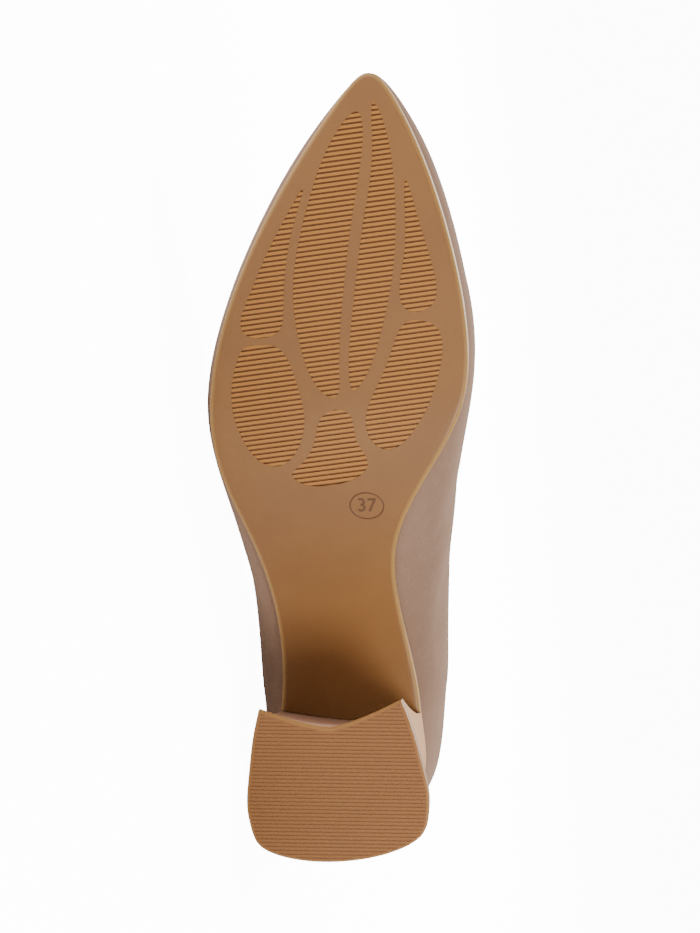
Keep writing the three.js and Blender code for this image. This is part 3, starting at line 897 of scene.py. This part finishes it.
# %% [markdown]
# ## The top lift
#
# The lift is the small rubber plate that meets the ground. Fine ribs run across nearly all of
# it. They are the same cut as the sole's, only shallower and closer.

# %% Top lift
LIFT_PITCH = 1.19
LIFT_GROOVE = 0.4
LIFT_DEPTH = 0.14
LIFT_BORDER = 0.9
LIFT_OVERRUN = 4
LIFT_FIELD_REACH = 1
LIFT_TOP_EDGE = 0.2
LIFT_HIGHLIGHT_REACH = 0.8
LIFT_ROWS, LIFT_STEPS, LIFT_RIM_ROWS = 44, 30, 90

lift_places = [2 * math.acos(1 - row[0]) / math.pi for row in LIFT_EDGE]
lift_half = spline(lift_places, [row[1] * LIFT_WIDTH for row in LIFT_EDGE])


def lift_edge(side, shares, margin=0.0):
    def curve(places):
        x = LIFT_BACK_X + (LIFT_LENGTH - margin) * (1 - np.cos(math.pi * places / 2))
        return np.stack([x, side * lift_half(places)], -1)
    middle = np.array([LIFT_BACK_X + LIFT_LENGTH / 2, 0])
    cos, sin = math.cos(LIFT_TURN), math.sin(LIFT_TURN)
    turned = np.array([[cos, sin], [-sin, cos]])
    return middle + (inset(curve, side, shares, margin) - middle) @ turned


def lift_bow(shares):
    return LIFT_BOW * shares ** BOW_POWER


def lift_grid(margin, rows=LIFT_ROWS, steps=LIFT_STEPS):
    return level_grid(lift_edge, rows, steps, lift_bow, margin)


lift_profile = rounded_profile(LIFT_BEVEL, 0, LIFT_THICKNESS, LIFT_TOP_EDGE)
levels = [raised(lift_grid(margin), height) for margin, height in lift_profile]
flat_lift = plain_piece("flat_lift", *stacked(levels))
ribbed = rim_of(lift_grid(LIFT_BORDER))
field = prisms("lift_field", [ribbed], -LIFT_FIELD_REACH, LIFT_FIELD_REACH)
grooves = groove_cutter(
    "lift_grooves", field, start=LIFT_BACK_X, length=LIFT_LENGTH + LIFT_OVERRUN,
    pitch=LIFT_PITCH, width=LIFT_GROOVE, depth=LIFT_DEPTH, angle=0.0, low=0.0)
cut(flat_lift, grooves, "DIFFERENCE")
points, faces = mesh_arrays(flat_lift.data)
# A band along the lift's rounded edge gets a painted highlight.
rim = nearness(points, rim_of(lift_grid(0.0, rows=LIFT_RIM_ROWS)), LIFT_HIGHLIGHT_REACH)
# The lift's groove bottoms get painted shade.
groove_shade_mask = (points[:, 2] > LIFT_DEPTH / 2) & (points[:, 2] < LIFT_THICKNESS / 2) & (rim == 0)
top_lift = make_piece("top_lift_rubber", points, faces, "lift_rubber", lift_rubber)
store(top_lift, rim=rim, groove=groove_shade_mask)
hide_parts("top_lift")
bpy.data.objects.remove(flat_lift)

# %% [markdown]
# ## The covered heel
#
# Suede is wrapped round a block that flares from the seat to the lift, with a hollow breast. Its
# suede is lighter than the upper's: painted light on the heel's side.
# A wrapped edge is never sharp, so the breast's corners get a small bevel. The breast itself,
# which faces the toe and stands in the heel's own shade, is found by the way its faces look and
# gets a darker tone as painted shade.

# %% Heel block
HEEL_ROWS, HEEL_STEPS, HEEL_LEVELS = 30, 26, 26
COVER_EDGE, COVER_STEPS = 0.9, 4
WRAP_ANGLE = math.radians(38)
BREAST_FACING, BREAST_FADE = 0.5, 0.3  # how squarely the breast looks to the toe


def seat_bow(shares):
    return BREAST_BOW * shares ** BOW_POWER


heel_turn = float(turn_at((BREAST_X - CLEARANCE) / SOLE_LENGTH))
seat = sole_levels(0, heel_turn, HEEL_ROWS, HEEL_STEPS, seat_bow, [(0, 0)])[0]
seat[..., 2] = footbed(seat[..., 0])
foot = raised(lift_grid(0, HEEL_ROWS, HEEL_STEPS), LIFT_THICKNESS + CLEARANCE)
levels = []
for rise in np.linspace(0, 1, HEEL_LEVELS + 1):
    level = seat + (foot - seat) * (1 - rise) ** FLARE_POWER
    level[..., 2] = foot[..., 2] + (seat[..., 2] - foot[..., 2]) * rise
    levels.append(level)
heel = make_piece("heel_cover", *stacked(levels), "heel_suede", heel_suede)
modifier = heel.modifiers.new("wrapped_edges", "BEVEL")
modifier.width = COVER_EDGE / 1000
modifier.segments = COVER_STEPS
modifier.limit_method = "ANGLE"
modifier.angle_limit = WRAP_ANGLE
keep_result(heel)
shade(heel.data)
facing_toe = np.array([vertex.normal @ Vector(toe_way) for vertex in heel.data.vertices])
# The breast, facing the toe, gets painted shade.
store(heel, breast=np.clip((facing_toe - BREAST_FACING) / BREAST_FADE, 0, 1))
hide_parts("heel_block")
print("Covered heel:", len(heel.data.polygons), "faces")

# %% [markdown]
# ## The padded sock
#
# A thin foam under leather lines the footbed. It is pressed down at its edge and swells a
# little in the middle, most under the heel.

# %% Sock
SOCK_ROWS, SOCK_STEPS = 110, 24
SOCK_EDGE, SOCK_LOWER_EDGE = 1.2, 0.2
SOCK_SWELL, FORE_SHARE = 0.7, 0.4
HEEL_SWELL_X, HEEL_SWELL_REACH = 30, 55

sock_inset = SOLE_MARGIN + UPPER_WALL + CLEARANCE
sock_top = CLEARANCE + INSOLE_THICKNESS
sock_profile = [(sock_inset + margin, height) for margin, height in
                rounded_profile(SOCK_LOWER_EDGE, CLEARANCE, sock_top, SOCK_EDGE)]
levels = sole_levels(0, 1, SOCK_ROWS, SOCK_STEPS, lambda shares: 0 * shares, sock_profile)
across = np.linspace(-1, 1, SOCK_STEPS + 1)
for level in levels:
    level[..., 2] += footbed(level[..., 0])
under_heel = np.exp(-((levels[-1][..., 0] - HEEL_SWELL_X) / HEEL_SWELL_REACH) ** 2)
swell_share = FORE_SHARE + (1 - FORE_SHARE) * under_heel
levels[-1][..., 2] += SOCK_SWELL * (1 - across ** 4) * swell_share
sock = make_piece("padded_sock", *stacked(levels), "sock_leather", lining_leather)
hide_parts("insole")

# %% [markdown]
# ## The upper's sheet
#
# Ribs rise from the edge of the sole to the ridge of the last, and the topline cuts those
# behind the throat. Neighbouring ribs share their points at the toe, the heel and along the
# ridge of the vamp, so the sheet is one smooth surface with no seam to hide.

# %% Ribs
QUARTER_RIBS, VAMP_RIBS, RIB_STEPS = 120, 80, 44
THROAT_CROWDING = 1.6


def last_when(test, count):
    """Halves a range per rib until it holds the place where the test turns true."""
    low, high = np.zeros(count), np.ones(count)
    for _ in range(HALVINGS):
        middle = (low + high) / 2
        passed = test(middle)
        high, low = np.where(passed, middle, high), np.where(passed, low, middle)
    return high


throat_along = last_when(lambda along: ridge_x(along) > THROAT_X, 1)[0]
throat_turn = float(turn_at(throat_along))
topline_x = [row[0] * SOLE_LENGTH for row in TOPLINE] + [THROAT_X]
throat_rise = ridge_rise(throat_along)
topline = {side: spline(topline_x, [row[place] * COLLAR_HEIGHT for row in TOPLINE] + [throat_rise])
           for side, place in ((OUTER, 1), (INNER, 2))}


def ridge_points(along):
    x = ridge_x(along)
    return np.stack([x, ridge_y(along), footbed(x) + CLEARANCE + ridge_rise(along)], -1)


def rib_controls(side, turns):
    along = along_at(turns)
    facing = np.stack([-np.cos(math.pi * turns) * BALL_WIDTH,
                       np.sin(math.pi * turns) * SOLE_LENGTH * side], -1)
    facing /= np.linalg.norm(facing, axis=-1, keepdims=True)
    edge = sole_edge(side, turns, SOLE_MARGIN)
    foot = np.column_stack([edge, footbed(edge[:, 0]) + CLEARANCE])
    ridge = ridge_points(along)
    belly = foot.copy()
    belly[:, :2] += facing * bulge[side](along)[:, None]
    belly[:, 2] += bulge_lift(along) * (ridge[:, 2] - foot[:, 2])
    run = ridge_points(along + SLOPE_STEP) - ridge_points(along - SLOPE_STEP)
    run /= np.linalg.norm(run, axis=-1, keepdims=True)
    reach = shoulder_reach(along)
    shoulder = ridge + run * (facing[:, 0] * reach)[:, None]
    shoulder[:, 1] += facing[:, 1] * reach
    return foot, belly, shoulder, ridge


def bezier(controls, share):
    foot, belly, shoulder, ridge = controls
    s = np.asarray(share)[..., None]
    r = 1 - s
    return foot * r ** 3 + 3 * belly * r ** 2 * s + 3 * shoulder * r * s ** 2 + ridge * s ** 3


def rib_points(side, turns):
    controls = rib_controls(side, turns)

    def is_above(share):
        point = bezier(controls, share)
        return point[:, 2] > topline[side](point[:, 0]) + footbed(point[:, 0]) + CLEARANCE
    top = np.where(turns < throat_turn, last_when(is_above, len(turns)), 1)
    shares = np.linspace(0, 1, RIB_STEPS + 1) * top[:, None]
    return bezier([control[:, None] for control in controls], shares)


quarter = throat_turn * (1 - (1 - np.arange(QUARTER_RIBS) / QUARTER_RIBS) ** THROAT_CROWDING)
turns = np.concatenate([quarter, np.linspace(throat_turn, 1, VAMP_RIBS + 1)])
ribs = np.concatenate([rib_points(OUTER, turns[::-1]), rib_points(INNER, turns[1:])])
heel_rib = len(turns) - 1
ids = np.arange(ribs.shape[0] * ribs.shape[1]).reshape(ribs.shape[:2])
for step in range(QUARTER_RIBS, len(turns)):
    ids[heel_rib + step, -1] = ids[heel_rib - step, -1]
ids[-1] = ids[0]
used, ids = np.unique(ids, return_inverse=True)
ids = ids.reshape(ribs.shape[:2])
sheet_points = ribs.reshape(-1, 3)[used]
sheet_faces = quads(ids[:-1, :-1], ids[:-1, 1:], ids[1:, 1:], ids[1:, :-1])
topline_loop = ids[heel_rib - QUARTER_RIBS:heel_rib + QUARTER_RIBS, -1]
feather_loop = ids[:-1, 0]
print("Sheet:", sheet_faces.shape[0], "faces; throat at", round(THROAT_X), "mm")

# %% [markdown]
# ### Creases, one by one
#
# Suede that has been lasted and handled is never quite even. Each crease here is one row: a
# short line on one side of the shoe, a depth and a width. It becomes a soft trough with a low
# ridge beside it, so the light finds it but the outline stays.

# %% Creases
CREASES = [  # side, start and end as shares along and up the rib, depth and width in mm
    (INNER, 0.24, 0.3, 0.38, 0.62, 0.5, 5.0),
    (INNER, 0.36, 0.25, 0.5, 0.5, 0.45, 5.5),
    (INNER, 0.45, 0.75, 0.6, 0.45, 0.4, 6.0),
    (INNER, 0.6, 0.3, 0.72, 0.62, 0.35, 6.5),
    (INNER, 0.13, 0.3, 0.2, 0.75, 0.35, 5.0),
    (OUTER, 0.25, 0.35, 0.42, 0.6, 0.4, 5.5),
    (OUTER, 0.5, 0.7, 0.62, 0.4, 0.4, 6.0),
    (OUTER, 0.13, 0.3, 0.2, 0.7, 0.3, 5.0),
    (INNER, 0.72, 0.15, 0.8, 0.5, 0.3, 5.0),
    (OUTER, 0.68, 0.2, 0.76, 0.55, 0.3, 5.0),
]
RIDGE_SHARE, RIDGE_GAP = 0.45, 1.9  # the ridge's height and place, as shares of the trough
FADE_END, FADE_POWER = 0.02, 0.7


def vertex_normals(points, faces):
    corners = points[faces]
    across = np.cross(corners[:, 2] - corners[:, 0], corners[:, 3] - corners[:, 1])
    normals = np.zeros_like(points)
    for corner in range(4):
        np.add.at(normals, faces[:, corner], across)
    return normals / np.linalg.norm(normals, axis=1, keepdims=True)


def sheet_place(side, along, share):
    rib = heel_rib + side * int(np.argmin(np.abs(along_at(turns) - along)))
    return sheet_points[ids[rib, int(round(share * RIB_STEPS))]]


def crease_depth(points, start, end, depth, width):
    """A trough along a line that fades at both ends, with a low ridge above it."""
    run = end - start
    share = np.clip((points - start) @ run / (run @ run), 0, 1)
    offset = points - start - share[:, None] * run
    gap = np.linalg.norm(offset, axis=1)
    fade = np.sin(math.pi * np.clip(share, FADE_END, 1 - FADE_END)) ** FADE_POWER
    trough = -np.exp(-(gap / width) ** 2)
    ridge = RIDGE_SHARE * np.exp(-(gap / width - RIDGE_GAP) ** 2) * (offset[:, 2] > 0)
    return depth * fade * (trough + ridge)


normals = vertex_normals(sheet_points, sheet_faces)
dents = np.zeros(len(sheet_points))
for side, along_a, share_a, along_b, share_b, depth, width in CREASES:
    start, end = sheet_place(side, along_a, share_a), sheet_place(side, along_b, share_b)
    dents += crease_depth(sheet_points, start, end, depth, width)
held = np.zeros(len(sheet_points))
held[feather_loop] = held[topline_loop] = 1
sheet_points = sheet_points + normals * (dents * (1 - held))[:, None]
normals = vertex_normals(sheet_points, sheet_faces)
print("Creases:", len(CREASES), "deepest", round(-dents.min(), 2), "mm")

# %% [markdown]
# ### Suede outside, leather inside
#
# The wall is two shells over the same sheet. The suede is folded over at the topline, so its
# rim is round, and the lining ends in a thinner fold just inside it.

# %% Shells
FOLD_STEPS = 5
LINING_GAP = 0.04


def shell(points, faces, normals, outside, inside):
    """A closed wall between two depths under a sheet, with a round fold at the topline."""
    count = len(points)
    made = [points - normals * outside, points - normals * inside]
    walls = [faces, faces[:, ::-1] + count]
    feather = np.stack([feather_loop, np.roll(feather_loop, -1)], -1)
    walls.append(np.column_stack([feather[:, ::-1], feather + count]))
    run = np.roll(points[topline_loop], -1, 0) - np.roll(points[topline_loop], 1, 0)
    up = np.cross(normals[topline_loop], run)
    up /= np.linalg.norm(up, axis=1, keepdims=True)
    inward = points[ids[heel_rib, -2]] - points[ids[heel_rib, -1]]
    if up[QUARTER_RIBS] @ inward > 0:
        up = -up
    radius = (inside - outside) / 2
    middle = points[topline_loop] - normals[topline_loop] * (outside + radius)
    rings = [topline_loop]
    for i in range(1, FOLD_STEPS):
        angle = math.pi * i / FOLD_STEPS
        ring = middle + radius * (math.cos(angle) * normals[topline_loop] + math.sin(angle) * up)
        rings.append(sum(len(part) for part in made) + np.arange(len(ring)))
        made.append(ring)
    rings.append(topline_loop + count)
    for first, second in zip(rings, rings[1:]):
        walls.append(quads(first, second, np.roll(second, -1), np.roll(first, -1)))
    return np.concatenate(made), np.concatenate(walls), up


upper_points, upper_faces, fold_way = shell(sheet_points, sheet_faces, normals, 0, SUEDE_WALL)
upper = make_piece("suede_upper", upper_points, upper_faces, "upper_suede", upper_suede)
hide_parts("upper")
lining_points, lining_faces, _ = shell(
    sheet_points, sheet_faces, normals, SUEDE_WALL + LINING_GAP, UPPER_WALL)
lining = make_piece("upper_lining", lining_points, lining_faces, "sock_leather", lining_leather)
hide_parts("upper")

# %% [markdown]
# ### Stitches at the topline
#
# One row of thread holds the fold. The stitches follow a path that runs a little below the
# topline, on the suede, and sink into it by half their thickness.

# %% Topline stitching
STITCH_PITCH = 2.5
STITCH_HALF_LENGTH = 0.95
STITCH_RADIUS = 0.2
STITCH_INSET = 2.2

path = sheet_points[topline_loop] - fold_way * STITCH_INSET
links = [(i, (i + 1) % len(path)) for i in range(len(path))]
row = plain_piece("topline_stitches", to_part(path), [], links)
belong(row)
grow(row, stitches, Pitch=STITCH_PITCH / 1000, Length=STITCH_HALF_LENGTH / 1000,
     Radius=STITCH_RADIUS / 1000, Material=thread)
print("Stitches:", len(row.data.polygons), "faces")

# %% [markdown]
# ## Floor and light
#
# The photo's ground is plain white, so the floor is paper that looks white to the camera and
# gives off a little light of its own, as a light table does. Three soft lights do the rest. The
# main one stands before the sole at the heel's end, so the heel's shadow falls on the shank. A
# low one lifts the toe. One behind the shoe brightens the heel's side and the upper's rim.

# %% Floor
FLOOR_HALF = 30.0
BACKDROP_GLOW = 12.0
FLOOR_LIGHT = 0.31
WHITE = (1, 1, 1, 1)
paper, paper_tree, paper_shader = new_material("white_paper")
seen = add_node(paper_tree, "ShaderNodeLightPath")
glow = add_node(paper_tree, "ShaderNodeMath", {
    0: seen.outputs["Is Camera Ray"], 1: BACKDROP_GLOW, 2: FLOOR_LIGHT},
    operation="MULTIPLY_ADD")
set_inputs(paper_tree, paper_shader, {
    "Base Color": srgb(0xFAFAFA), "Roughness": 0.9, "Specular IOR Level": 0.1,
    "Emission Color": WHITE, "Emission Strength": glow.outputs["Value"]})
square = [(-1, -1), (1, -1), (1, 1), (-1, 1)]
floor = plain_piece("floor", [(x * FLOOR_HALF, y * FLOOR_HALF, 0) for x, y in square],
                    [(0, 1, 2, 3)])
floor.data.materials.append(paper)

# %% Light
LIGHTS = [  # name, place from the shoe in metres, size in metres, watts
    ("heel_key", (0.7, -1.05, 0.7), 0.6, 26),
    ("toe_low", (-1.33, -0.53, 0.2), 0.6, 14),
    ("back_rim", (-0.2, 0.95, 1.05), 0.6, 38),
]
WORLD_STRENGTH = 0.44

for name, place, size, power in LIGHTS:
    light_data = bpy.data.lights.new(name, "AREA")
    light_data.size = size
    light_data.energy = power
    light = add_object(name, light_data)
    light.location = place
    light.rotation_euler = (-Vector(place)).to_track_quat("-Z", "Y").to_euler()
world = bpy.data.worlds.new("studio")
world.use_nodes = True
set_inputs(world.node_tree, world.node_tree.nodes["Background"],
           {"Color": WHITE, "Strength": WORLD_STRENGTH})
bpy.context.scene.world = world
print("Lights:", [row[0] for row in LIGHTS])
